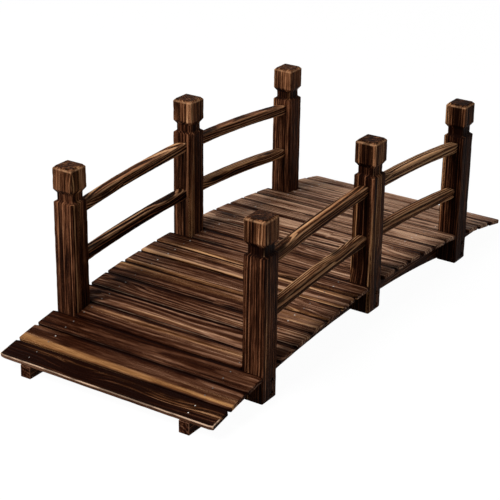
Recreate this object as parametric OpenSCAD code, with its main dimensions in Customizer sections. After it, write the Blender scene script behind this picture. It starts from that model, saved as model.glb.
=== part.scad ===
// A garden moon bridge of charred and brushed fir. Two sawn arched beams carry flat deck
// boards, six posts are bolted to the outer faces of the beams, and two rails that follow
// the arch of the deck are let into the posts of each bay.
// Sizes are millimetres and degrees. X runs along the bridge, Y across it, z = 0 is ground.

/* [Deck] */
// Length of the bridge over the ends of the deck
bridge_length = 1500; // [1300:10:2000]
// Length of a full deck board, which is the width of the bridge
deck_width = 635; // [600:5:900]
// Height of the middle of the deck above its ends
arch_rise = 79; // [50:1:120]
// Thickness of a deck board
plank_t = 12; // [9:0.5:20]
// Gap between two neighbouring deck boards
plank_gap = 5; // [3:0.5:8]
// Radius of the eased long edges of a deck board
plank_edge_r = 3; // [1:0.5:4]
// Full deck boards between an end of the deck and the first post
end_planks = 3; // [2:1:4]
// Full deck boards between two posts
bay_planks = 6; // [5:1:8]

/* [Beams] */
// Thickness of an arched beam
beam_t = 30; // [20:1:45]
// Depth of an arched beam, measured square to its arch
beam_depth = 78; // [60:1:100]
// Height of the upright face at the end of a beam
beam_end_h = 32; // [20:1:60]
// How far a beam stops short of the end of the deck
beam_setback = 2; // [0:0.5:10]

/* [Posts] */
// Width of a square post
post_w = 60; // [45:1:75]
// Height of an end post's top above the deck beside it
post_rise = 382; // [350:1:450]
// Depth of a middle post's foot below the deck beside it
mid_post_drop = 84; // [70:1:100]
// How far a post's outer face stands in from the ends of the full deck boards
post_inset = 5.5; // [2:0.5:20]
// Radius of the eased upright edges of a post
post_edge_r = 4; // [1:0.5:6]
// Room between a post and the full deck boards on either side of it
post_room = 8.6; // [6:0.1:14]
// Room between a post and the end of the short deck board beside it
short_plank_room = 1.5; // [0.5:0.5:5]

/* [Post heads] */
// Height of a post's head above its flare
head_h = 60; // [45:1:80]
// Width of the slope around the top of the head
head_chamfer = 5.5; // [2:0.5:10]
// Height of the flare under the head
flare_h = 10; // [5:0.5:16]
// Height of the straight neck
neck_h = 19; // [10:0.5:30]
// How far the neck is cut in from each face of the post
neck_inset = 7; // [3:0.5:12]
// Height of the slope from the neck down to the shoulder
shoulder_h = 5; // [2:0.5:12]

/* [Rails] */
// Width and height of a rail's section
rail_w = 28; // [22:1:36]
// Radius of a rail's rounded edges
rail_edge_r = 5; // [2:0.5:9]
// Height of the lower rail's middle above the deck
lower_rail_h = 118; // [90:1:150]
// Height of the upper rail's middle above the deck
upper_rail_h = 254; // [210:1:270]
// Depth that a rail is let into a post
rail_tenon = 15; // [8:1:25]

/* [Bolts] */
// Diameter of the hole for a bolt's shank
bolt_hole_d = 8; // [5:0.5:10]
// Diameter of the recess for a bolt's head
bolt_recess_d = 13; // [11:0.5:20]
// Depth of the recess for a bolt's head
bolt_recess_h = 9; // [4:0.5:20]
// Depth of the upper bolt below the top of the beam
bolt_edge = 24; // [15:1:30]
// Distance between the two bolts of a post
bolt_pitch = 35; // [25:1:40]
// How far the bolts stand off the middle of a post, towards the back of the bridge
bolt_offset = 10; // [0:1:15]

/* [Clearances] */
// Room under a deck board where it bears on a beam
plank_seat = 0.1; // [0:0.05:0.3]
// Room around a rail in its socket
rail_room = 0.2; // [0.1:0.05:0.3]

/* [Hidden] */
left = 1;
right = -1;
front = -1;
middle = 0;
back = 1;
lower = 0;
upper = 1;
sides = [left, right];
bays = [front, back];
levels = [lower, upper];
post_places = [front, middle, back];
// Steps around a small circle, and around a whole circle as large as the arch
$fn = 64;
arch_fn = 1440;
// How far a cutting shape runs past the face that it cuts
cut_over = 1;
degrees_per_radian = 180 / PI;

// The top of the deck is an arc. The beams are arcs about the same axis, and each rail is
// the deck's own arc raised to the height of that rail.
deck_end_z = beam_end_h + plank_t;
half_length = bridge_length / 2;
deck_r = (half_length * half_length + arch_rise * arch_rise) / (2 * arch_rise);
arch_z = deck_end_z + arch_rise - deck_r;
deck_arc = 2 * deck_r * asin(half_length / deck_r) / degrees_per_radian;

// Each post stands in a slot between two full boards, and a short board fills the slot
// between the left post and the right post.
slot_w = post_w + 2 * post_room;
short_plank_w = slot_w - 2 * plank_gap;
full_planks = 2 * (end_planks + bay_planks);
slots = len(post_places);
inner_gaps = full_planks - 2 * len(bays);
full_plank_w = (deck_arc - slots * slot_w - inner_gaps * plank_gap) / full_planks;
full_pitch = full_plank_w + plank_gap;
plank_count = full_planks + slots;
mid_plank = (plank_count + 1) / 2;
post_plank = bay_planks + 1;
post_arc = slot_w + bay_planks * full_pitch - plank_gap;

// The posts stand just inside the ends of the boards, with a beam against each inner face.
beam_span = deck_width - 2 * (post_inset + post_w);
beam_r = deck_r - plank_t - plank_seat;
beam_length = bridge_length - 2 * beam_setback;
beam_y = (beam_span - beam_t) / 2;
post_x = deck_r * sin(arc_angle(post_arc));
post_y = (beam_span + post_w) / 2;
post_length = deck_z(post_x) + post_rise;
short_plank_length = beam_span - 2 * short_plank_room;

// Heights of the cuts around a post's head
head_z = post_length - head_h;
neck_top_z = head_z - flare_h;
neck_low_z = neck_top_z - neck_h;
shoulder_z = neck_low_z - shoulder_h;

rail_heights = [lower_rail_h, upper_rail_h];
bolt_steps = [0, 1];
rail_angle = 2 * arc_angle(post_arc + slot_w);

function arc_angle(length) = length / deck_r * degrees_per_radian;
function arc_height(radius, x) = arch_z + sqrt(radius * radius - x * x);
function deck_z(x) = arc_height(deck_r, x);
function place_x(place) = place * post_x;
function post_foot_z(place) = place == middle ? deck_z(0) - mid_post_drop : 0;
function bolt_z(place, step) = arc_height(beam_r, place_x(place)) - bolt_edge - step * bolt_pitch;

// Boards are counted from the front. A board's place is its steps from the middle one.
function plank_step(number) = number - mid_plank;
function is_short(step) = step == 0 || abs(step) == post_plank;
function bay_place(steps) = slot_w / 2 + full_plank_w / 2 + (steps - 1) * full_pitch;
function plank_place(steps) =
    steps == 0 ? 0
    : steps < post_plank ? bay_place(steps)
    : steps == post_plank ? post_arc
    : post_arc + bay_place(steps - post_plank);
function plank_angle(step) = sign(step) * arc_angle(plank_place(abs(step)));

function two_digits(number) = number < 10 ? str("0", number) : str(number);
function side_name(side) = side == left ? "left" : "right";
function place_name(place) = place == front ? "front" : place == back ? "back" : "middle";
function level_name(level) = level == lower ? "lower" : "upper";
function beam_name(side) = str(side_name(side), "_beam");
function plank_name(number) = str("deck_plank_", two_digits(number));
function post_name(side, place) = str(side_name(side), "_", place_name(place), "_post");
function rail_name(side, bay, level) =
    str(side_name(side), "_", place_name(bay), "_", level_name(level), "_rail");

module rounded_rectangle(width, height, radius) {
    square([width - 2 * radius, height], center = true);
    square([width, height - 2 * radius], center = true);
    for (x = [-1, 1], y = [-1, 1])
        translate([x * (width / 2 - radius), y * (height / 2 - radius)])
            circle(r = radius);
}

// The hole for one bolt runs in from the outer face of a post, through post and beam.
module bolt_hole(side, place, step) {
    outer_y = post_y + post_w / 2;
    run = post_w + beam_t;
    translate([place_x(place) + bolt_offset, side * outer_y, bolt_z(place, step)])
        rotate([side * 90, 0, 0]) {
            translate([0, 0, -cut_over])
                cylinder(d = bolt_hole_d, h = run + 2 * cut_over);
            translate([0, 0, -cut_over])
                cylinder(d = bolt_recess_d, h = bolt_recess_h + cut_over);
        }
}

// Arched beam, sawn to two arcs about one axis and cut level where it meets the ground
module beam_outline() {
    intersection() {
        translate([0, arch_z])
            difference() {
                circle(r = beam_r, $fn = arch_fn);
                circle(r = beam_r - beam_depth, $fn = arch_fn);
            }
        translate([-beam_length / 2, 0])
            square([beam_length, beam_r]);
    }
}

module beam(side) {
    color([0.16, 0.09, 0.06])
        difference() {
            translate([0, side * beam_y, 0])
                rotate([90, 0, 0])
                    linear_extrude(beam_t, center = true)
                        beam_outline();
            for (place = post_places, step = bolt_steps)
                bolt_hole(side, place, step);
        }
}

// Flat deck board, laid square to the arch. Most boards run the full width, and the ones
// between two posts stop short of them.
module deck_plank(number) {
    step = plank_step(number);
    short = is_short(step);
    width = short ? short_plank_w : full_plank_w;
    length = short ? short_plank_length : deck_width;
    color([0.32, 0.17, 0.11])
        translate([0, 0, arch_z])
            rotate([0, plank_angle(step), 0])
                translate([0, 0, deck_r - plank_t / 2])
                    rotate([90, 0, 0])
                        linear_extrude(length, center = true)
                            rounded_rectangle(width, plank_t, plank_edge_r);
}

// One face of a post: straight shaft, shoulder, neck, flare and head
module post_outline() {
    half = post_w / 2;
    neck = half - neck_inset;
    top = half - head_chamfer;
    right_edge = [
        [half, 0],
        [half, shoulder_z],
        [neck, neck_low_z],
        [neck, neck_top_z],
        [half, head_z],
        [half, post_length - head_chamfer],
        [top, post_length]
    ];
    left_edge = [for (i = [len(right_edge) - 1 : -1 : 0]) [-right_edge[i].x, right_edge[i].y]];
    polygon(concat(right_edge, left_edge));
}

module post_blank() {
    intersection() {
        linear_extrude(post_length)
            rounded_rectangle(post_w, post_w, post_edge_r);
        rotate([90, 0, 0])
            linear_extrude(post_w + 2 * cut_over, center = true)
                post_outline();
        rotate([90, 0, 90])
            linear_extrude(post_w + 2 * cut_over, center = true)
                post_outline();
    }
}

module post(side, place) {
    color([0.22, 0.13, 0.09])
        difference() {
            translate([place_x(place), side * post_y, post_foot_z(place)])
                post_blank();
            for (step = bolt_steps)
                bolt_hole(side, place, step);
            for (bay = bays, level = levels)
                rail_stretch(side, bay, level, rail_tenon, rail_room);
        }
}

// A stretch of rail between two posts, reaching into each, with room added all round
module rail_stretch(side, bay, level, reach, room) {
    length = post_x - post_w + 2 * reach;
    size = rail_w + 2 * room;
    intersection() {
        translate([0, side * post_y, arch_z + rail_heights[level]])
            rotate([90, 0, 0])
                rotate([0, 0, 90 - rail_angle / 2])
                    rotate_extrude(angle = rail_angle, $fn = arch_fn)
                        translate([deck_r, 0])
                            rounded_rectangle(size, size, rail_edge_r + room);
        translate([bay * post_x / 2 - length / 2, side * post_y - post_w / 2, 0])
            cube([length, post_w, deck_r]);
    }
}

module rail(side, bay, level) {
    color([0.24, 0.14, 0.10])
        rail_stretch(side, bay, level, rail_tenon - rail_room, 0);
}

for (side = sides)
    beam(side);
for (number = [1 : plank_count])
    deck_plank(number);
for (side = sides, place = post_places)
    post(side, place);
for (side = sides, bay = bays, level = levels)
    rail(side, bay, level);
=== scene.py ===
# A garden moon bridge of charred and brushed fir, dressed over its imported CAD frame.
import math
import random

import bmesh
import bpy
from mathutils import Matrix, Vector, noise


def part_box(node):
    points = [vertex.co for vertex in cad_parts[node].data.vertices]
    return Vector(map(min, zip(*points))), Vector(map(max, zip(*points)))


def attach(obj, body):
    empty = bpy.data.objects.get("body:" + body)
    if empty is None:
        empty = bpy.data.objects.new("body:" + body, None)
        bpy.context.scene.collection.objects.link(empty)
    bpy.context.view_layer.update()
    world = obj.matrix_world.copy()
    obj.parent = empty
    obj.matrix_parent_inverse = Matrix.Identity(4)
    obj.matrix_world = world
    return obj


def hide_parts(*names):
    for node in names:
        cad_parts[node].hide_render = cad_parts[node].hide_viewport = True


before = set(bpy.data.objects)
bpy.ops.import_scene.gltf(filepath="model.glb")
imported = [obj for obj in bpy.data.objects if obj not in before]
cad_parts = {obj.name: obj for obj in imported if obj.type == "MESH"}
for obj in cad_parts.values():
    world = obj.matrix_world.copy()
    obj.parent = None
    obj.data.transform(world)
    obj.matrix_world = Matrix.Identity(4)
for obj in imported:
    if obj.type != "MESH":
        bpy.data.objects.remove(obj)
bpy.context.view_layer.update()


# Arched beams
# Each beam is sawn from one wide fir board to the curve of the deck and cut level where it
# stands on the ground. It is scorched, brushed and sealed, and carries the deck boards.

class Wire:
    """One socket of a node tree. Sums and products add Math nodes, and node() adds any other."""

    def __init__(self, tree, socket=None):
        self.tree = tree
        self.socket = socket

    def node(self, kind, settings=None, inputs=None, output=0):
        made = self.tree.nodes.new(kind)
        for name, value in (settings or {}).items():
            setattr(made, name, value)
        for key, value in (inputs or {}).items():
            if isinstance(value, Wire):
                self.tree.links.new(value.socket, made.inputs[key])
            else:
                made.inputs[key].default_value = value
        return Wire(self.tree, made.outputs[output] if len(made.outputs) else None)

    def other(self, output):
        return Wire(self.tree, self.socket.node.outputs[output])

    def math(self, operation, *values):
        return self.node("ShaderNodeMath", {"operation": operation}, dict(enumerate(values)))

    def vector(self, operation, *values):
        output = "Value" if operation == "LENGTH" else "Vector"
        settings = {"operation": operation}
        return self.node("ShaderNodeVectorMath", settings, dict(enumerate(values)), output)

    def axes(self):
        split = self.node("ShaderNodeSeparateXYZ", inputs={"Vector": self})
        return split.other("X"), split.other("Y"), split.other("Z")

    def joined(self, x, y, z):
        return self.node("ShaderNodeCombineXYZ", inputs={"X": x, "Y": y, "Z": z})

    def smooth(self, low, high):
        limits = {"Value": self, "From Min": low, "From Max": high}
        return self.node("ShaderNodeMapRange", {"interpolation_type": "SMOOTHSTEP"}, limits)

    def coloured(self, stops):
        ramp = self.node("ShaderNodeValToRGB", inputs={"Fac": self})
        elements = ramp.socket.node.color_ramp.elements
        elements[1].position = stops[-1][0]
        elements[1].color = stops[-1][1]
        elements[0].position = stops[0][0]
        elements[0].color = stops[0][1]
        for place, colour in stops[1:-1]:
            elements.new(place).color = colour
        return ramp

    def mixed(self, first, second):
        inputs = {0: self, 6: first, 7: second}
        return self.node("ShaderNodeMix", {"data_type": "RGBA"}, inputs, output=2)

    def __add__(self, other):
        return self.math("ADD", self, other)

    def __radd__(self, other):
        return self.math("ADD", other, self)

    def __sub__(self, other):
        return self.math("SUBTRACT", self, other)

    def __rsub__(self, other):
        return self.math("SUBTRACT", other, self)

    def __mul__(self, other):
        return self.math("MULTIPLY", self, other)

    def __rmul__(self, other):
        return self.math("MULTIPLY", other, self)

    def __truediv__(self, other):
        return self.math("DIVIDE", self, other)


def blank_tree(owner):
    """A wire to start from, in the emptied node tree of a material or a world."""
    owner.use_nodes = True
    owner.node_tree.nodes.clear()
    return Wire(owner.node_tree)


def charred_wood(name, colours, worn_and_highlight, ring_width, lines, fibres, wander_width, knots):
    """Fir with its soft growth scorched dark and its hard rings brushed lighter.

    The piece's own attributes give its grain: board is the place in the sawn board, with the
    grain along x, arris is 1 on a worn edge, where the deck boards' front edges also take a
    painted highlight, seed tells one board from the next, tone makes it lighter or darker and
    on some pieces carries painted shade and sheen, gilt is 1 where the fire left it golden,
    and bold adds contrast.
    lines and fibres say how strongly the rings and the fibres show, and knots how many places
    for a knot there are in a metre, along and across the grain."""
    material = bpy.data.materials.new(name)
    start = blank_tree(material)
    board = start.node("ShaderNodeAttribute", {"attribute_name": "board"}, output="Vector")
    seed, tone, arris, gilt, bold = (
        start.node("ShaderNodeAttribute", {"attribute_name": label}, output="Fac")
        for label in ("seed", "tone", "arris", "gilt", "bold"))

    def streaks(along, across, detail, output="Fac"):
        """Noise drawn out along the grain, with so many waves in a metre along and across it."""
        place = board.vector("MULTIPLY", board, (along, across, across))
        inputs = {"Vector": place, "W": seed, "Scale": 1.0, "Detail": detail, "Roughness": 0.55}
        return place.node("ShaderNodeTexNoise", {"noise_dimensions": "4D"}, inputs, output)

    # Growth rings lie round a pith that wanders along the board. It lies below the board, and
    # further to one side in some boards than in others.
    pith_spread = (0.0, 0.26, 0.09)
    pith_low = (0.0, -0.13, -0.13)
    chance = seed.node("ShaderNodeTexWhiteNoise", {"noise_dimensions": "1D"}, {"W": seed}, "Color")
    pith = chance.vector("MULTIPLY_ADD", chance, pith_spread, pith_low)
    wander = streaks(along=1.1, across=7.0, detail=2.0, output="Color")
    half_wander = wander_width / 2
    shift = wander.vector(
        "MULTIPLY_ADD", wander, (0.0, wander_width, wander_width), (0.0, -half_wander, -half_wander))
    across_grain = board.vector("MULTIPLY", board, (0.0, 1.0, 1.0))
    from_pith = shift.vector("ADD", shift, board.vector("SUBTRACT", across_grain, pith))
    distance = from_pith.vector("LENGTH", from_pith)

    # About a third of the places for a knot hold one, and the rings bulge round it.
    knot_core = 0.05
    knot_rim = 0.12
    bulge_rim = 0.45
    along, across, through = board.axes()
    knots_along, knots_across = knots
    cell_place = along.joined(
        along * knots_along + seed * 1.7, (across + through) * knots_across + seed * 0.9, 0.0)
    cell_inputs = {"Vector": cell_place, "Scale": 1.0, "Randomness": 0.8}
    cell = cell_place.node("ShaderNodeTexVoronoi", {"voronoi_dimensions": "2D"}, cell_inputs, "Distance")
    has_knot = cell.other("Color").axes()[0].smooth(0.66, 0.7)
    knot = has_knot * (1 - cell.smooth(knot_core, knot_rim))
    bulge = has_knot * (1 - cell.smooth(0.0, bulge_rim))

    # Good and poor spells make the rings uneven, and the end of each year's growth is hard.
    spells_per_metre = 45.0
    year_inputs = {"W": distance * spells_per_metre + seed, "Scale": 1.0}
    years = distance.node("ShaderNodeTexNoise", {"noise_dimensions": "1D"}, year_inputs)
    rings = distance / ring_width + years * 2.0 + bulge * 1.6
    year = rings.math("FLOOR", rings)
    ring = rings - year
    growth = year.node("ShaderNodeTexWhiteNoise", {"noise_dimensions": "1D"}, {"W": year + seed})
    hard = ring.smooth(0.42, 0.6) * (1 - ring.smooth(0.86, 0.98)) * (0.3 + 0.7 * growth)

    # Fire leaves broad dark and light patches, and brushing brings out fibres and specks.
    fibre = streaks(along=4.0, across=110.0, detail=5.0)
    speck = streaks(along=30.0, across=320.0, detail=3.0)
    light = streaks(along=2.6, across=15.0, detail=4.0).smooth(0.36, 0.66)
    burnt = streaks(along=3.4, across=11.0, detail=4.0).smooth(0.58, 0.68)
    golden = streaks(along=1.2, across=30.0, detail=2.0).smooth(0.6, 0.7)

    # The level runs from 0, burnt black, to 1, bare wood. A plain board lies at usual_level.
    usual_level = 0.26
    usual_hard = 0.25
    usual_noise = 0.5
    glow = 0.13 * light + golden * (0.14 + 0.3 * hard) + gilt * (0.34 + 0.4 * hard) - 0.2 * burnt
    grain = lines * (hard - usual_hard) + fibres * (fibre - usual_noise)
    stripes = grain + 0.8 * (speck - usual_noise)
    level = glow + stripes * (1 + bold) + usual_level + tone
    gold_share = gilt * 0.85 + golden * 0.45
    base = gold_share.mixed(level.coloured(colours), level.coloured(golden_browns))

    # Edges are rubbed bare here and there, and on the deck boards' front edges this wear also carries a
    # painted highlight. Knots are burnt black.
    rubbed = 0.3 + 0.7 * streaks(along=20.0, across=110.0, detail=2.0).smooth(0.4, 0.6)
    wear_and_highlight = (1.5 * arris - 0.5) * rubbed
    black = colours[0][1]
    base = (wear_and_highlight * 0.8).mixed(base, worn_and_highlight)
    base = (knot * 0.8).mixed(base, black)

    # Brushing leaves the hard rings standing proud. The sealer is matt.
    relief_depth = 0.0028
    height = hard * 0.8 + fibre * 0.7 + speck * 0.35 - knot * 0.3
    relief = {"Height": height, "Strength": 0.8, "Distance": relief_depth}
    bump = height.node("ShaderNodeBump", inputs=relief)
    rough = 0.6 - 0.14 * hard - 0.08 * light
    finish = {"Base Color": base, "Roughness": rough, "Normal": bump, "Specular IOR Level": 0.01}
    skin = start.node("ShaderNodeBsdfPrincipled", inputs=finish)
    skin.node("ShaderNodeOutputMaterial", inputs={"Surface": skin})
    return material


def geometry_tree(name, inputs):
    """A new geometry tree with these named inputs, and a wire from each of them."""
    tree = bpy.data.node_groups.new(name, "GeometryNodeTree")
    tree.interface.new_socket("Geometry", in_out="OUTPUT", socket_type="NodeSocketGeometry")
    for label, kind in inputs.items():
        tree.interface.new_socket(label, in_out="INPUT", socket_type="NodeSocket" + kind)
    entry = tree.nodes.new("NodeGroupInput")
    return {label: Wire(tree, entry.outputs[label]) for label in inputs}


def noted(geometry, name, value, kind="FLOAT"):
    """The geometry with a named value kept on each of its points."""
    settings = {"data_type": kind, "domain": "POINT"}
    return geometry.node(
        "GeometryNodeStoreNamedAttribute", settings, {"Geometry": geometry, "Name": name, "Value": value})


def kept(geometry, name, kind="FLOAT"):
    """The named value that each point of the geometry has."""
    return geometry.node("GeometryNodeInputNamedAttribute", {"data_type": kind}, {"Name": name})


def moved(geometry, place):
    """The geometry with its points at these places."""
    return geometry.node("GeometryNodeSetPosition", inputs={"Geometry": geometry, "Position": place})


def ended(geometry, material):
    """Closes a tree: real faces, smooth shading and one material."""
    real = geometry.node("GeometryNodeRealizeInstances", inputs={"Geometry": geometry})
    smooth = real.node("GeometryNodeSetShadeSmooth", inputs={"Geometry": real})
    dressed = smooth.node("GeometryNodeSetMaterial", inputs={"Geometry": smooth, "Material": material})
    dressed.node("NodeGroupOutput", inputs={"Geometry": dressed})
    return geometry.tree


def rounded_board():
    """A group that makes a board about the origin, grain along x, with eased and worn edges."""
    entry = geometry_tree("Rounded board", {
        "Size": "Vector", "Points Along": "Int", "Points Across": "Int", "Points Through": "Int",
        "Edge Radius": "Float", "Seed": "Float", "Tone": "Float"})
    size, radius, seed = entry["Size"], entry["Edge Radius"], entry["Seed"]
    counts = {
        "Size": (2.0, 2.0, 2.0), "Vertices X": entry["Points Along"],
        "Vertices Y": entry["Points Across"], "Vertices Z": entry["Points Through"]}
    cube = size.node("GeometryNodeMeshCube", inputs=counts)
    even = cube.node("GeometryNodeInputPosition")

    # Points crowd towards the edges, where the rounding needs them.
    quarter_turn = (math.pi / 2,) * 3
    crowded = even.vector("SINE", even.vector("MULTIPLY", even, quarter_turn))
    half = size.vector("MULTIPLY", size, (0.5, 0.5, 0.5))
    place = crowded.vector("MULTIPLY", crowded, half)

    # The edges are worn more in some places than in others.
    rub_inputs = {"Vector": place, "W": seed, "Scale": 38.0, "Detail": 2.0}
    rub = place.node("ShaderNodeTexNoise", {"noise_dimensions": "4D"}, rub_inputs)
    worn_radius = radius * (0.55 + 0.9 * rub)
    inset = worn_radius.joined(worn_radius, worn_radius, worn_radius)
    core = half.vector("SUBTRACT", half, inset)
    core_low = core.vector("MULTIPLY", core, (-1.0, -1.0, -1.0))
    inner = place.vector("MAXIMUM", place.vector("MINIMUM", place, core), core_low)
    outward = place.vector("NORMALIZE", place.vector("SUBTRACT", place, inner))
    rounded = inner.vector("ADD", inner, outward.vector("MULTIPLY", outward, inset))

    # How near a point lies to an edge, where two of its three sizes are at their limit.
    reach = radius * 1.6
    reaches = reach.joined(reach, reach, reach)
    bare = half.vector("SUBTRACT", half, reaches)
    depth = place.vector("SUBTRACT", place.vector("ABSOLUTE", place), bare)
    near = depth.vector("DIVIDE", depth, reaches)
    near_x, near_y, near_z = near.vector("MAXIMUM", near, (0.0, 0.0, 0.0)).axes()
    pair = (near_x * near_y).math("MAXIMUM", near_x * near_y, near_y * near_z)
    arris = pair.math("MAXIMUM", pair, near_x * near_z)

    # Planing leaves each face a little uneven.
    uneven_depth = 0.0012
    wave_inputs = {"Vector": place, "W": seed + 7.3, "Scale": 16.0, "Detail": 1.0}
    wave = place.node("ShaderNodeTexNoise", {"noise_dimensions": "4D"}, wave_inputs, "Color")
    uneven = wave.vector("MULTIPLY_ADD", wave, (uneven_depth,) * 3, (-uneven_depth / 2,) * 3)
    shaped = moved(noted(cube, "arris", arris), rounded.vector("ADD", rounded, uneven))

    shaped = noted(noted(shaped, "seed", seed), "tone", entry["Tone"])
    shaped.node("NodeGroupOutput", inputs={"Geometry": shaped})
    return shaped.tree


def board_in(entry, size, counts):
    """The rounded board group, set into a tree that has its Edge Radius, Seed and Tone inputs."""
    along, across, through = counts
    inputs = {"Size": size, "Points Along": along, "Points Across": across, "Points Through": through}
    for label in ("Edge Radius", "Seed", "Tone"):
        inputs[label] = entry[label]
    return size.node("GeometryNodeGroup", {"node_tree": board_group}, inputs)


def placed(name, content):
    """A new object in the scene with this mesh, lamp or camera."""
    made = bpy.data.objects.new(name, content)
    bpy.context.scene.collection.objects.link(made)
    return made


def made_plain(piece):
    """Gives a piece the plain mesh that its modifiers make, and takes them off."""
    ready = piece.evaluated_get(bpy.context.evaluated_depsgraph_get())
    mesh = bpy.data.meshes.new_from_object(ready)
    piece.modifiers.clear()
    old_mesh = piece.data
    piece.data = mesh
    bpy.data.meshes.remove(old_mesh)
    mesh.name = piece.name


def made_by(tree, name, values, points=None):
    """The plain mesh object that a geometry tree makes from these inputs, in its place."""
    piece = placed(name, points or bpy.data.meshes.new(name))
    modifier = piece.modifiers.new(tree.name, "NODES")
    modifier.node_group = tree
    for socket in tree.interface.items_tree:
        if socket.in_out == "INPUT" and socket.name in values:
            modifier[socket.identifier] = values[socket.name]
    made_plain(piece)
    return piece


def stands_for(piece, node):
    """Puts a finished piece on the bridge's one body, in the place of a CAD node."""
    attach(piece, "root")
    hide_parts(node)


def middle_of(node):
    """The middle of a CAD node's box."""
    low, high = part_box(node)
    return (low + high) / 2


def size_of(node):
    """The three sizes of a CAD node's box."""
    low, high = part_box(node)
    return high - low


sides = {"left": 1, "right": -1}
first_board = middle_of("deck_plank_01")
crown_board = middle_of("deck_plank_11")
arch_fall = crown_board.z - first_board.z
board_radius = (first_board.x ** 2 + arch_fall ** 2) / (2 * arch_fall)
arch_axis_z = crown_board.z - board_radius
beam_depth = 0.078
beam_edge_radius = 0.002
beam_points = (150, 8, 12)
beam_seed = 40.0
beam_tone = -0.06
beam_top_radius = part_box("left_beam")[1].z - arch_axis_z

# Each ramp runs from burnt black to bare wood. The pale end of the scorched ramp is greyed towards white, a
# painted sheen standing in for gloss on the brushed ridges.
scorched_browns_and_sheen = (
    (0.0, (0.007, 0.0014, 0.0005, 1)),
    (0.22, (0.026, 0.0065, 0.0022, 1)),
    (0.48, (0.1, 0.039, 0.019, 1)),
    (0.75, (0.28, 0.14, 0.081, 1)),
    (1.0, (0.6, 0.365, 0.23, 1)))
warm_browns = (
    (0.0, (0.005, 0.0012, 0.0006, 1)),
    (0.22, (0.02, 0.006, 0.0025, 1)),
    (0.48, (0.112, 0.039, 0.0175, 1)),
    (0.75, (0.33, 0.138, 0.064, 1)),
    (1.0, (0.66, 0.37, 0.19, 1)))
golden_browns = (
    (0.0, (0.012, 0.0035, 0.001, 1)),
    (0.5, (0.17, 0.066, 0.021, 1)),
    (1.0, (0.6, 0.31, 0.12, 1)))
board_group = rounded_board()
timber_inputs = {"Edge Radius": "Float", "Seed": "Float", "Tone": "Float"}
beam_wood = charred_wood(
    "beam_wood", scorched_browns_and_sheen, worn_and_highlight=(0.3, 0.14, 0.08, 1), ring_width=0.0078, lines=0.35,
    fibres=1.5, wander_width=0.05, knots=(3.0, 9.0))


def arc_height(axis_height, radius, along):
    """How high an arc about the axis of the arch stands at a place along the bridge."""
    square = radius * radius - along * along
    return axis_height + square.math("SQRT", square)


entry = geometry_tree("Arched beam", {
    "Size": "Vector", "Top Radius": "Float", "Axis Height": "Float", "Place Across": "Float",
    **timber_inputs})
beam = board_in(entry, entry["Size"], beam_points)
along, across, up = beam.node("GeometryNodeInputPosition").axes()
depth = entry["Size"].axes()[2]
upper_edge = arc_height(entry["Axis Height"], entry["Top Radius"], along)
under_arch = arc_height(entry["Axis Height"], entry["Top Radius"] - depth, along)
lower_edge = under_arch.math("MAXIMUM", under_arch, 0.0)
height = lower_edge + (up / depth + 0.5) * (upper_edge - lower_edge)
beam = noted(beam, "board", along.joined(along, across, height), "FLOAT_VECTOR")
board_place = kept(beam, "board", "FLOAT_VECTOR")
beam = moved(beam, board_place.vector("ADD", board_place, along.joined(0.0, entry["Place Across"], 0.0)))
beam_tree = ended(beam, beam_wood)

for side, sign in sides.items():
    node = side + "_beam"
    size = size_of(node)
    beam_piece = made_by(beam_tree, node + "_wood", {
        "Size": (size.x, size.y, beam_depth), "Top Radius": beam_top_radius,
        "Axis Height": arch_axis_z, "Place Across": middle_of(node).y,
        "Edge Radius": beam_edge_radius, "Seed": beam_seed + sign, "Tone": beam_tone})
    stands_for(beam_piece, node)


# Deck boards
# Flat fir boards nailed across the beams, square to the arch. Most run the full width, and
# three short ones lie between the posts. Their edges are eased and darkened by painted shade
# where the seams lie, and the front edge is worn, with a painted highlight on the wear.

# The deck's worn colour is pale, as it also paints the highlight on the front edges.
deck_wood = charred_wood(
    "deck_wood", scorched_browns_and_sheen, worn_and_highlight=(0.6, 0.4, 0.27, 1), ring_width=0.0085, lines=0.55,
    fibres=1.8, wander_width=0.05, knots=(3.6, 10.0))
board_thickness = size_of("deck_plank_11").z
board_edge_radius = 0.0026
board_count = 21
board_points = (110, 30, 6)
board_shift = 0.0015
corner_length = 0.014
corner_wear = 0.07
side_shade_depth = 0.005
top_shade_depth = 0.0015
front_edge = 0.0008
worn_highlight_half_width = 0.004
worn_highlight_half_depth = 0.002

entry = geometry_tree("Deck board", {
    "Size": "Vector", "Radius": "Float", "Axis Height": "Float", "Angle": "Float", "Shift": "Float",
    "Gilt": "Float", "Gilt Place": "Float", "Front Shade": "Float", "Back Shade": "Float",
    "Shade Reach": "Float", "Bold": "Float", "Corner Wear": "Float", "Side Shade": "Float",
    "Front Wear Highlight": "Float", **timber_inputs})
deck_board = board_in(entry, entry["Size"], board_points)
place = deck_board.node("GeometryNodeInputPosition")
deck_board = noted(deck_board, "board", place, "FLOAT_VECTOR")
deck_board = noted(deck_board, "bold", entry["Bold"])
along, across, up = place.axes()
whole_length, whole_width, whole_depth = entry["Size"].axes()
half_width = whole_width * 0.5
half_depth = whole_depth * 0.5

# A golden band, wider at the left end, follows the grain of some boards.
from_gilt = across.math("ABSOLUTE", across / whole_width - entry["Gilt Place"])
gilt_reach = 0.17 + 0.16 * along / whole_length
band = 1 - from_gilt.smooth(gilt_reach * 0.5, gilt_reach * 1.3)
deck_board = noted(deck_board, "gilt", entry["Gilt"] * band)

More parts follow.
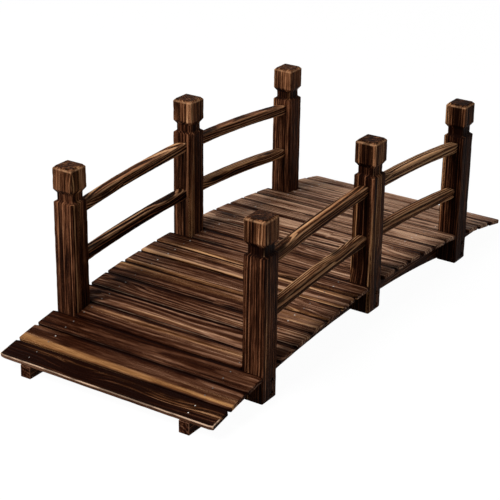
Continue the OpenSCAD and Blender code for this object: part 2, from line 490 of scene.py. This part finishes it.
# Painted shade darkens both long edges, where the seams between the boards lie in shade, and in front the
# side face more than the top.
shade_start = half_width - entry["Shade Reach"]
below_top = 1 - up.smooth(half_depth - side_shade_depth, half_depth - top_shade_depth)
front_shade = (0.0 - across).smooth(shade_start, half_width - front_edge) * (0.4 + 0.6 * below_top)
back_shade = across.smooth(shade_start, half_width - entry["Shade Reach"] * 0.45)
painted_shade = front_shade * entry["Front Shade"] + back_shade * entry["Back Shade"]
# Painted shade also slopes along each board: the near boards are darker towards their left ends, and the
# far boards a little lighter there.
deck_board = noted(deck_board, "tone", entry["Tone"] - painted_shade - along * entry["Side Shade"])

# Only the upper front edge, which faces the lamp, is worn bright: real wear with a painted highlight laid
# on it.
in_front = 1 - across.smooth(-worn_highlight_half_width, worn_highlight_half_width)
on_top = up.smooth(0.0, worn_highlight_half_depth)
deck_board = noted(deck_board, "arris", kept(deck_board, "arris") * in_front * on_top * entry["Front Wear Highlight"])

# The corners are rubbed off at the ends, and the board is laid on the arch.
to_end = whole_length * 0.5 - along.math("ABSOLUTE", along)
narrowed = across * (1 - entry["Corner Wear"] * (1 - to_end.smooth(0.0, corner_length)))
flat = along.joined(narrowed, along + entry["Shift"], up + entry["Radius"])
lean = {"Vector": flat, "Angle": entry["Angle"]}
turned = flat.node("ShaderNodeVectorRotate", {"rotation_type": "Y_AXIS"}, lean)
deck_board = moved(deck_board, turned.vector("ADD", turned, along.joined(0.0, 0.0, entry["Axis Height"])))
deck_tree = ended(deck_board, deck_wood)

# The near boards have tones of their own, and some a golden band: its strength, and its place
# in widths from the middle of the board.
board_tones = {
    1: -0.44, 2: 0.02, 3: -0.03, 4: 0.03, 5: 0.04, 6: 0.06, 7: 0.06, 8: 0.09, 9: 0.1, 10: 0.13}
gilt_bands = {2: (1.15, -0.34), 7: (0.45, 0.2), 8: (0.8, -0.52), 9: (0.7, -0.52), 10: (0.5, -0.5)}
tone_spread = 0.08
# Below zero the painted shade becomes painted light: the first board's front edge and face are lightened.
first_front_shade = -0.62
first_front_highlight = 1.7
near_side_shade = 0.18
far_side_shade = -0.05
last_near_board = 12
board_seed_step = 3.7

# From the first board to the last the wood gets lighter, a painted sheen on the far boards, its grain
# bolder and the painted shade at its edges deeper.
tone_start = -0.27
painted_sheen_step = 0.04
bold_start = -0.44
bold_step = 0.042
edge_shade_start = 0.4
front_shade_step = 0.025
back_shade_step = 0.02
shade_reach_start = 0.0062
shade_reach_step = 0.0003
least_front_highlight = 0.2
most_front_highlight = 0.7

fate = random.Random(11)
for number in range(1, board_count + 1):
    node = f"deck_plank_{number:02d}"
    centre = middle_of(node)
    size = size_of(node)
    angle = math.atan2(centre.x, centre.z - arch_axis_z)
    width = (size.x - board_thickness * abs(math.sin(angle))) / math.cos(angle)
    usual_tone = fate.uniform(-tone_spread, tone_spread) + painted_sheen_step * number + tone_start
    front_shade = edge_shade_start + front_shade_step * number
    back_shade = edge_shade_start + back_shade_step * number
    gilt, gilt_place = gilt_bands.get(number, (0.0, 0.0))
    deck_piece = made_by(deck_tree, node + "_wood", {
        "Size": (size.y, width, board_thickness), "Radius": board_radius, "Axis Height": arch_axis_z,
        "Angle": angle, "Shift": fate.uniform(-board_shift, board_shift),
        "Edge Radius": board_edge_radius, "Corner Wear": corner_wear,
        "Seed": board_seed_step * number, "Tone": board_tones.get(number, usual_tone),
        "Gilt": gilt, "Gilt Place": gilt_place, "Bold": bold_start + bold_step * number,
        "Front Shade": first_front_shade if number == 1 else front_shade,
        "Back Shade": 0.0 if number == board_count else back_shade,
        "Shade Reach": shade_reach_start + shade_reach_step * number,
        "Side Shade": near_side_shade if number <= last_near_board else far_side_shade,
        "Front Wear Highlight": (
            first_front_highlight if number == 1 else fate.uniform(least_front_highlight, most_front_highlight))})
    stands_for(deck_piece, node)


# Deck nails
# Two steel nails hold each board at each beam, driven until the head stands just proud of
# the wood. Most heads are dulled by the scorching, and some are still bright.

nail_radius = 0.0024
nail_height = 0.0011
nail_sunk = nail_height * 0.3
nail_spacing = 0.029
nail_wander = 0.002
dull_share = 0.7
bright_dullness = 0.15

nail_steel = bpy.data.materials.new("nail_steel")
start = blank_tree(nail_steel)
dull = start.node("ShaderNodeAttribute", {"attribute_name": "dull"}, output="Fac")
nail_place = start.node("ShaderNodeTexCoord", output="Object")
patches = start.node("ShaderNodeTexNoise", inputs={"Vector": nail_place, "Scale": 900.0, "Detail": 2.0})
stain = dull * (0.5 + 0.7 * patches)
nail_colour = stain.mixed((0.62, 0.58, 0.53, 1), (0.035, 0.022, 0.016, 1))
nail_finish = {"Base Color": nail_colour, "Metallic": 0.85 - 0.7 * stain, "Roughness": 0.3 + 0.3 * stain}
steel = start.node("ShaderNodeBsdfPrincipled", inputs=nail_finish)
steel.node("ShaderNodeOutputMaterial", inputs={"Surface": steel})

entry = geometry_tree("Nails", {"Geometry": "Geometry", "Head Radius": "Float", "Head Height": "Float"})
head_sizes = {
    "Vertices": 10, "Side Segments": 1, "Fill Segments": 1, "Depth": entry["Head Height"],
    "Radius Top": entry["Head Radius"] * 0.6, "Radius Bottom": entry["Head Radius"]}
nail_head = entry["Head Radius"].node("GeometryNodeMeshCone", inputs=head_sizes)
tilt = kept(nail_head, "tilt")
nail_turn = {"Points": entry["Geometry"], "Instance": nail_head, "Rotation": tilt.joined(0.0, tilt, 0.0)}
nail_tree = ended(nail_head.node("GeometryNodeInstanceOnPoints", inputs=nail_turn), nail_steel)


def keep_on_points(mesh, name, values, kind="FLOAT"):
    """Keeps a value, or a vector's three, on each point of a mesh."""
    field = "vector" if kind == "FLOAT_VECTOR" else "value"
    mesh.attributes.new(name, kind, "POINT").data.foreach_set(field, values)


for side in sides:
    spots, tilts, dulls = [], [], []
    for number in range(1, board_count + 1):
        centre = middle_of(f"deck_plank_{number:02d}")
        angle = math.atan2(centre.x, centre.z - arch_axis_z)
        face_radius = board_radius + board_thickness / 2
        for end in (-1, 1):
            across = end * nail_spacing / 2 + fate.uniform(-nail_wander, nail_wander)
            spots.append((
                face_radius * math.sin(angle) + across * math.cos(angle),
                middle_of(side + "_beam").y + fate.uniform(-nail_wander, nail_wander),
                arch_axis_z + face_radius * math.cos(angle) - across * math.sin(angle) - nail_sunk))
            tilts.append(angle)
            dulls.append(1.0 if fate.random() < dull_share else bright_dullness)
    nail_points = bpy.data.meshes.new(side + "_nail_points")
    nail_points.from_pydata(spots, [], [])
    keep_on_points(nail_points, "tilt", tilts)
    keep_on_points(nail_points, "dull", dulls)
    sizes = {"Head Radius": nail_radius, "Head Height": nail_height}
    nails = made_by(nail_tree, side + "_nails", sizes, nail_points)
    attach(nails, "root")


# Posts
# Six square fir posts are bolted to the outer faces of the beams, and the end ones reach the
# ground. Each has a neck cut round it under a chamfered head, sockets for the rails and recesses
# for two bolts.

worn_post = (0.5, 0.26, 0.13, 1)
post_wood = charred_wood(
    "post_wood", warm_browns, worn_and_highlight=worn_post, ring_width=0.0062, lines=0.45, fibres=1.5,
    wander_width=0.03, knots=(5.0, 10.0))
post_size = size_of("left_front_post")
post_half = post_size.x / 2
post_length = post_size.z
post_edge_radius = 0.0026
foot_ease = 0.002
neck_inset = 0.007
neck_height = 0.019
flare_height = 0.010
shoulder_height = 0.005
head_height = 0.060
head_chamfer = 0.0055
profile_easing = 0.0011
shaft_step = 0.012
profile_step = 0.004
post_side_steps = 10
post_corner_steps = 3
cap_shares = (0.8, 0.5, 0.2)
chip_depth = 0.0016
chips_per_metre = 60
wave_depth = 0.0004
waves_per_metre = 18
post_sharp_angle = math.radians(50)

head_z = post_length - head_height
neck_top_z = head_z - flare_height
neck_low_z = neck_top_z - neck_height
shoulder_z = neck_low_z - shoulder_height
post_profile = (
    (0.0, post_half - foot_ease),
    (foot_ease, post_half),
    (shoulder_z, post_half),
    (neck_low_z, post_half - neck_inset),
    (neck_top_z, post_half - neck_inset),
    (head_z, post_half),
    (post_length - head_chamfer, post_half),
    (post_length, post_half - head_chamfer))


def post_half_at(height):
    """Half the width of a post at a height above its foot."""
    for (low, low_half), (high, high_half) in zip(post_profile, post_profile[1:]):
        if height <= high:
            return low_half + (high_half - low_half) * max(height - low, 0) / (high - low)
    return post_profile[-1][1]


def post_levels():
    """Heights of the rings: close together by each turn of the profile, wide apart on the shaft."""
    levels = []
    for (low, _), (high, _) in zip(post_profile, post_profile[1:]):
        ease = min(profile_easing, (high - low) / 3)
        step_height = shaft_step if high == shoulder_z else profile_step
        steps = max(1, round((high - low) / step_height))
        inner = [low + ease + (high - low - 2 * ease) * step / steps for step in range(steps + 1)]
        levels += [low] + inner
    return levels + [post_length]


def rounded_square(half, radius, side_steps, corner_steps):
    """Points round a square with rounded corners, turning left from the low end of its right side."""
    points = []
    for corner in range(4):
        turn = Matrix.Rotation(math.pi / 2 * corner, 2)
        flat = half - radius
        for step in range(side_steps):
            points.append(turn @ Vector((half, -flat + 2 * flat * step / side_steps)))
        for step in range(corner_steps):
            angle = math.pi / 2 * step / corner_steps
            corner_place = Vector((flat + radius * math.cos(angle), flat + radius * math.sin(angle)))
            points.append(turn @ corner_place)
    return points


def lofted(mesh, rings):
    """Faces between rings of points, closed with a fan at each end."""
    rows = [[mesh.verts.new(point) for point in ring] for ring in rings]
    count = len(rows[0])
    for low, high in zip(rows, rows[1:]):
        for step in range(count):
            mesh.faces.new((low[step], low[step - count + 1], high[step - count + 1], high[step]))
    for row, ring, order in ((rows[0], rings[0], -1), (rows[-1], rings[-1], 1)):
        hub = mesh.verts.new(sum((Vector(point) for point in ring), Vector()) / count)
        for step in range(count):
            mesh.faces.new((row[step], row[step - count + 1], hub)[::order])


def rod_along(mesh, outline, start_place, direction, length):
    """A prism of this outline from a place along a direction, for cutting sockets and recesses."""
    turn = Vector(direction).to_track_quat("Z", "Y")
    lofted(mesh, [
        [Vector(start_place) + turn @ Vector((point[0], point[1], reach)) for point in outline]
        for reach in (0.0, length)])


deck_radius = board_radius + board_thickness / 2
rail_heights = {"lower": 0.118, "upper": 0.254}
rail_size = 0.028
rail_edge_radius = 0.005
socket_depth = 0.0152
socket_room = 0.0003
socket_side_steps = 1
socket_corner_steps = 4
bolt_recess_radius = 0.0065
bolt_recess_depth = 0.009
bolt_below_edge = 0.024
bolt_pitch = 0.035
bolt_offset = 0.010
recess_sides = 20
cutter_overlap = 0.004


def rail_line(x, height):
    """How high the middle of a rail lies at a place along the bridge, and the way it runs there."""
    lean = math.asin(x / deck_radius)
    middle_z = arch_axis_z + height + deck_radius * math.cos(lean)
    return middle_z, Vector((math.cos(lean), 0, -math.sin(lean)))


def bolt_heights(post_x):
    """The heights of the two bolts of a post, measured down from the top of the beam."""
    edge = arch_axis_z + math.sqrt(beam_top_radius ** 2 - post_x ** 2)
    return edge - bolt_below_edge, edge - bolt_below_edge - bolt_pitch


def post_cutters(centre, sign, bays):
    """The rail sockets in the sides that face a bay, and the two bolt recesses outside."""
    cutters = bmesh.new()
    socket_half = rail_size / 2 + socket_room
    outline = rounded_square(socket_half, rail_edge_radius, socket_side_steps, socket_corner_steps)
    for bay in bays:
        face_x = centre.x + bay * post_half
        for height in rail_heights.values():
            face_z, run = rail_line(face_x, height)
            mouth = Vector((face_x, centre.y, face_z)) + bay * cutter_overlap * run
            rod_along(cutters, outline, mouth, -bay * run, cutter_overlap + socket_depth)
    turns = [math.tau * step / recess_sides for step in range(recess_sides)]
    circle = [bolt_recess_radius * Vector((math.cos(turn), math.sin(turn))) for turn in turns]
    for height in bolt_heights(centre.x):
        mouth = (centre.x + bolt_offset, centre.y + sign * (post_half + cutter_overlap), height)
        rod_along(cutters, circle, mouth, (0, -sign, 0), cutter_overlap + bolt_recess_depth)
    return cutters


def object_of(name, shape):
    """An object made of a finished bmesh, with its faces turned outwards."""
    mesh = bpy.data.meshes.new(name)
    bmesh.ops.recalc_face_normals(shape, faces=shape.faces)
    shape.to_mesh(mesh)
    shape.free()
    return placed(name, mesh)


def less(piece, cutter):
    """Cuts one shape out of another and takes the cutter away."""
    cut = piece.modifiers.new("cut", "BOOLEAN")
    cut.object = cutter
    cut.solver = "EXACT"
    made_plain(piece)
    cutter_mesh = cutter.data
    bpy.data.objects.remove(cutter)
    bpy.data.meshes.remove(cutter_mesh)


def arris_of(x, y, half):
    """How near a place lies to one of a post's four edges: 1 at its sharp corner."""
    reach = post_edge_radius * 1.3
    return max(abs(x) - half + reach, 0) * max(abs(y) - half + reach, 0) / reach ** 2


def post_shape(centre, foot_z, seed):
    """A post before it is cut: rings up its profile, with chipped edges and uneven faces."""
    shape = bmesh.new()
    rings = []
    for level in post_levels():
        half = sum(post_half_at(level + shift) for shift in (-profile_easing, 0, profile_easing)) / 3
        ring = []
        for x, y in rounded_square(half, post_edge_radius, post_side_steps, post_corner_steps):
            place = Vector((x, y, level))
            chip = noise.noise(place * chips_per_metre + Vector((seed, 0, 0)))
            wave = wave_depth * noise.noise(place * waves_per_metre + Vector((0, seed, 0)))
            keep = 1 + (wave - chip_depth * arris_of(x, y, half) * max(chip, 0)) / half
            ring.append((centre.x + x * keep, centre.y + y * keep, foot_z + level))
        rings.append(ring)
    middle = Vector((centre.x, centre.y, 0))
    for ring, order in ((rings[0], 0), (rings[-1], 1)):
        for share in cap_shares:
            inner = [middle + (Vector(point) - middle) * share for point in ring]
            inner = [(point.x, point.y, ring[0][2]) for point in inner]
            rings.insert(len(rings) * order, inner)
    lofted(shape, rings)
    return shape


head_gilt = 0.16
head_tone = -0.01
shaft_tone = -0.03
top_tone = -0.18
top_skin = 0.0005
stripe_strength = 0.5
stripes_across = 110
stripes_along = 6
head_edge_wear = 0.9
shaft_edge_wear = 0.4
neck_shade_reach = neck_height * 0.9
neck_shade_rise = 2.5


def post_tone_at(place, seed):
    """How much lighter or darker a place on a post is: the heads are striped, their tops dark."""
    if place.z > post_length - top_skin:
        return top_tone
    part_tone = head_tone if place.z > head_z else shaft_tone
    if place.z > neck_top_z:
        stripe = Vector((place.x * stripes_across, place.y * stripes_across, place.z * stripes_along))
        part_tone += stripe_strength * noise.noise(stripe + Vector((seed, 0, 0)))
    return part_tone


def note_grain(piece, centre, foot_z, seed, tone, painted_shade):
    """Keeps the grain values of a post on its points: the grain runs up it, and its tone holds painted
    shade in the neck.
    """
    mesh = piece.data
    board, arris, tones, gilts = [], [], [], []
    for point in mesh.vertices:
        place = point.co - Vector((centre.x, centre.y, foot_z))
        half = post_half_at(place.z)
        board += [place.z, place.x, place.y]
        sharp = arris_of(place.x, place.y, half)
        rim = 1 - abs(place.z - (post_length - head_chamfer)) / head_chamfer
        rim *= max(abs(place.x), abs(place.y)) / post_half
        edge_wear = head_edge_wear if place.z > neck_low_z else shaft_edge_wear
        arris.append(min(1.0, max(sharp * edge_wear, rim, 0.0)))
        gilts.append(head_gilt if place.z > head_z else 0.0)
        # The neck under the overhanging head is darkened with painted shade.
        in_neck = 1 - abs(place.z - (neck_low_z + neck_top_z) / 2) / neck_shade_reach
        neck_shading = painted_shade * min(1.0, max(in_neck, 0.0) * neck_shade_rise)
        tones.append(tone + post_tone_at(place, seed) - neck_shading)
    keep_on_points(mesh, "board", board, "FLOAT_VECTOR")
    keep_on_points(mesh, "arris", arris)
    keep_on_points(mesh, "seed", [seed] * len(mesh.vertices))
    keep_on_points(mesh, "tone", tones)
    keep_on_points(mesh, "gilt", gilts)


post_bays = {"front": (1,), "middle": (-1, 1), "back": (-1,)}
post_tones = {
    "left_front_post": -0.02, "left_middle_post": 0.03, "left_back_post": 0.05,
    "right_front_post": -0.06, "right_middle_post": -0.07, "right_back_post": -0.15}
neck_shade = {
    "left_front_post": 0.02, "left_middle_post": 0.12, "left_back_post": 0.25,
    "right_front_post": 0.34, "right_middle_post": 0.02, "right_back_post": 0.2}
post_seed = 200.0
post_seed_step = 5.3
for side, sign in sides.items():
    for place, bays in post_bays.items():
        node = f"{side}_{place}_post"
        centre = middle_of(node)
        foot_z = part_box(node)[0].z
        post_seed += post_seed_step
        post = object_of(node + "_wood", post_shape(centre, foot_z, post_seed))
        less(post, object_of("cutters", post_cutters(centre, sign, bays)))
        note_grain(post, centre, foot_z, post_seed, post_tones[node], neck_shade[node])
        post.data.shade_smooth()
        post.data.set_sharp_from_angle(angle=post_sharp_angle)
        post.data.materials.clear()
        post.data.materials.append(post_wood)
        stands_for(post, node)


# Rails
# Two rails close each bay, sawn from straight fir to the curve of the deck, so that their
# grain runs out at the edges. Their ends are rounded off by knife and let into the posts.

rail_wood = charred_wood(
    "rail_wood", warm_browns, worn_and_highlight=worn_post, ring_width=0.0066, lines=0.8, fibres=1.5,
    wander_width=0.02, knots=(4.0, 12.0))
rail_points = (96, 12, 12)
whittled_length = 0.034
whittled_share = 0.16

entry = geometry_tree("Arched rail", {
    "Size": "Vector", "Radius": "Float", "Axis Height": "Float", "Angle": "Float",
    "Place Across": "Float", "Whittled Length": "Float", "Whittled Share": "Float",
    "Gilt": "Float", **timber_inputs})
rail = board_in(entry, entry["Size"], rail_points)
along, across, up = rail.node("GeometryNodeInputPosition").axes()
to_end = entry["Size"].axes()[0] * 0.5 - along.math("ABSOLUTE", along)
slim = 1 - (1 - to_end.smooth(0.0, entry["Whittled Length"])) * entry["Whittled Share"]
straight_up = up * slim - along * along / (entry["Radius"] * 2)
rail = noted(rail, "board", along.joined(along, across * slim, straight_up), "FLOAT_VECTOR")
rail = noted(rail, "gilt", entry["Gilt"])
bend = entry["Angle"] + along / entry["Radius"]
reach = entry["Radius"] + up * slim
rail_place = along.joined(
    reach * bend.math("SINE", bend), across * slim + entry["Place Across"],
    entry["Axis Height"] + reach * bend.math("COSINE", bend))
rail_tree = ended(moved(rail, rail_place), rail_wood)

rail_gilt = {"left": 0.1, "right": 0.28}
rail_tones = {
    "left_front_lower_rail": -0.12, "left_front_upper_rail": 0.05,
    "left_back_lower_rail": 0.03, "left_back_upper_rail": 0.08,
    "right_front_lower_rail": -0.08, "right_front_upper_rail": -0.13,
    "right_back_lower_rail": 0.06, "right_back_upper_rail": -0.03}
rail_seed = 300.0
rail_seed_step = 7.1
for side in sides:
    for bay in ("front", "back"):
        for level, height in rail_heights.items():
            node = f"{side}_{bay}_{level}_rail"
            low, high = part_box(node)
            low_angle = math.asin(low.x / deck_radius)
            high_angle = math.asin(high.x / deck_radius)
            rail_seed += rail_seed_step
            rail_piece = made_by(rail_tree, node + "_wood", {
                "Size": (deck_radius * (high_angle - low_angle), rail_size, rail_size),
                "Radius": deck_radius, "Axis Height": arch_axis_z + height,
                "Angle": (low_angle + high_angle) / 2, "Place Across": middle_of(node).y,
                "Whittled Length": whittled_length, "Whittled Share": whittled_share,
                "Gilt": rail_gilt[side], "Edge Radius": rail_edge_radius,
                "Seed": rail_seed, "Tone": rail_tones[node]})
            stands_for(rail_piece, node)


# Bolts
# Two blackened bolts go through each post and beam, with the head and its washer in the
# recess outside and a washer and nut on the inner face of the beam.

bolt_head_radius = 0.0052
bolt_head_height = 0.0042
bolt_head_chamfer = bolt_head_height * 0.2
bolt_head_top_radius = bolt_head_radius * 0.82
nut_radius = 0.0066
nut_height = 0.0055
nut_chamfer = nut_height * 0.15
nut_top_radius = nut_radius * 0.84
washer_radius = 0.0062
nut_washer_radius = washer_radius * 1.35
washer_height = 0.0012
shank_radius = 0.0038
shank_tip_radius = shank_radius * 0.85
shank_stub = 0.004
washer_sides = 20
head_sides = 6
shank_sides = 12
bolt_sharp_angle = math.radians(35)

bolt_steel = bpy.data.materials.new("bolt_steel")
start = blank_tree(bolt_steel)
place = start.node("ShaderNodeTexCoord", output="Object")
rust_inputs = {"Vector": place, "Scale": 320.0, "Detail": 3.0}
rust = place.node("ShaderNodeTexNoise", inputs=rust_inputs).smooth(0.45, 0.7)
steel_colour = rust.mixed((0.02, 0.019, 0.02, 1), (0.07, 0.03, 0.016, 1))
steel_finish = {"Base Color": steel_colour, "Metallic": 0.8 - 0.6 * rust, "Roughness": 0.42 + 0.35 * rust}
steel = start.node("ShaderNodeBsdfPrincipled", inputs=steel_finish)
steel.node("ShaderNodeOutputMaterial", inputs={"Surface": steel})


def together(flow, parts):
    """One geometry made of several."""
    whole = flow.node("GeometryNodeJoinGeometry")
    for part in parts:
        flow.tree.links.new(part.socket, whole.socket.node.inputs[0])
    return whole


def stacked(flow, discs):
    """Short cones and prisms laid on each other along z: sides, low radius, high radius, height."""
    layers = []
    level = 0.0
    for count, low, high, height in discs:
        inputs = {
            "Vertices": count, "Side Segments": 1, "Fill Segments": 1,
            "Radius Top": high, "Radius Bottom": low, "Depth": height}
        disc = flow.node("GeometryNodeMeshCone", inputs=inputs)
        layers.append(disc.node(
            "GeometryNodeTransform", inputs={"Geometry": disc, "Translation": (0.0, 0.0, level)}))
        level += height
    return together(flow, layers)


entry = geometry_tree("Bolt ends", {"Geometry": "Geometry"})
flow = entry["Geometry"]
head = stacked(flow, (
    (washer_sides, washer_radius, washer_radius, washer_height),
    (head_sides, bolt_head_radius, bolt_head_radius, bolt_head_height - bolt_head_chamfer),
    (head_sides, bolt_head_radius, bolt_head_top_radius, bolt_head_chamfer)))
nut = stacked(flow, (
    (washer_sides, nut_washer_radius, nut_washer_radius, washer_height),
    (head_sides, nut_radius, nut_radius, nut_height - nut_chamfer),
    (head_sides, nut_radius, nut_top_radius, nut_chamfer),
    (shank_sides, shank_radius, shank_tip_radius, shank_stub)))
turn = kept(flow, "turn", "FLOAT_VECTOR")
is_nut = kept(flow, "nut")
heads = flow.node("GeometryNodeInstanceOnPoints", inputs={
    "Points": flow, "Selection": 1 - is_nut, "Instance": head, "Rotation": turn})
nuts = flow.node("GeometryNodeInstanceOnPoints", inputs={
    "Points": flow, "Selection": is_nut, "Instance": nut, "Rotation": turn})
bolt_tree = ended(together(flow, (heads, nuts)), bolt_steel)

for side, sign in sides.items():
    spots, turns, kinds = [], [], []
    beam_inside = abs(middle_of(side + "_beam").y) - size_of(side + "_beam").y / 2
    for place in post_bays:
        centre = middle_of(f"{side}_{place}_post")
        recess_floor = abs(centre.y) + post_half - bolt_recess_depth
        for height in bolt_heights(centre.x):
            spots.append((centre.x + bolt_offset, sign * recess_floor, height))
            turns += [-sign * math.pi / 2, 0.0, 0.0]
            kinds.append(0.0)
            spots.append((centre.x + bolt_offset, sign * beam_inside, height))
            turns += [sign * math.pi / 2, 0.0, 0.0]
            kinds.append(1.0)
    bolt_points = bpy.data.meshes.new(side + "_bolt_points")
    bolt_points.from_pydata(spots, [], [])
    keep_on_points(bolt_points, "turn", turns, "FLOAT_VECTOR")
    keep_on_points(bolt_points, "nut", kinds)
    bolts = made_by(bolt_tree, side + "_bolts", {}, bolt_points)
    bolts.data.set_sharp_from_angle(angle=bolt_sharp_angle)
    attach(bolts, "root")


# Floor, light and camera
# A pale floor under a pale sky, and one broad lamp high up in front of the bridge. The camera
# sees floor and sky nearly white, but they light the wood only softly.

half_floor = 20.0
floor_colour = (0.45, 0.45, 0.45, 1)
white = (1, 1, 1, 1)
floor_glow = 1.1
floor_glow_share = 0.88
sky_light = 0.16
lamp_power = 800.0
lamp_size = 4.0
lamp_place = Vector((-5.6, 1.4, 6.9))


def in_sight(start):
    """1 for the rays that show a surface to the camera, straight or by way of gloss or glass."""
    ray = start.node("ShaderNodeLightPath", output="Is Camera Ray")
    return ray + ray.other("Is Glossy Ray") + ray.other("Is Transmission Ray")


floor_mesh = bpy.data.meshes.new("floor")
floor_mesh.from_pydata(
    [(-half_floor, -half_floor, 0), (half_floor, -half_floor, 0),
     (half_floor, half_floor, 0), (-half_floor, half_floor, 0)], [], [(0, 1, 2, 3)])
floor = placed("floor", floor_mesh)
floor_paint = bpy.data.materials.new("floor_paint")
start = blank_tree(floor_paint)
matt = start.node("ShaderNodeBsdfDiffuse", inputs={"Color": floor_colour})
glow = start.node("ShaderNodeEmission", inputs={"Color": white, "Strength": floor_glow})
layers = {0: in_sight(start) * floor_glow_share, 1: matt, 2: glow}
paint = start.node("ShaderNodeMixShader", inputs=layers)
paint.node("ShaderNodeOutputMaterial", inputs={"Surface": paint})
floor_mesh.materials.append(floor_paint)

sky = bpy.data.worlds.new("studio")
bpy.context.scene.world = sky
start = blank_tree(sky)
sky_strength = sky_light + (1 - sky_light) * in_sight(start)
dome = start.node("ShaderNodeBackground", inputs={"Color": white, "Strength": sky_strength})
dome.node("ShaderNodeOutputWorld", inputs={"Surface": dome})

key_data = bpy.data.lights.new("key_light", "AREA")
key_data.energy = lamp_power
key_data.size = lamp_size
key_light = placed("key_light", key_data)
key_light.location = lamp_place
key_light.rotation_euler = (-lamp_place).to_track_quat("-Z", "Y").to_euler()

# The camera stands off the front right corner and looks down the length of the bridge.
camera_place = Vector((-3.2928, -2.0725, 1.8291))
camera_yaw = math.radians(33.141)
camera_dip = math.radians(23.573)
camera_roll = math.radians(0.799)
ahead = Vector((
    math.cos(camera_dip) * math.cos(camera_yaw),
    math.cos(camera_dip) * math.sin(camera_yaw),
    -math.sin(camera_dip)))
level_right = Vector((math.sin(camera_yaw), -math.cos(camera_yaw), 0))
level_up = level_right.cross(ahead)
camera_right = math.cos(camera_roll) * level_right + math.sin(camera_roll) * level_up
camera_up = camera_right.cross(ahead)
camera_data = bpy.data.cameras.new("camera")
camera_data.sensor_width = 36.0
camera_data.lens = 113.52
camera_data.clip_start = 0.1
camera_data.clip_end = 100.0
camera = placed("camera", camera_data)
camera_turn = Matrix((camera_right, camera_up, -ahead)).transposed()
camera.matrix_world = Matrix.Translation(camera_place) @ camera_turn.to_4x4()
bpy.context.scene.camera = camera
bpy.context.scene.view_settings.view_transform = "Standard"
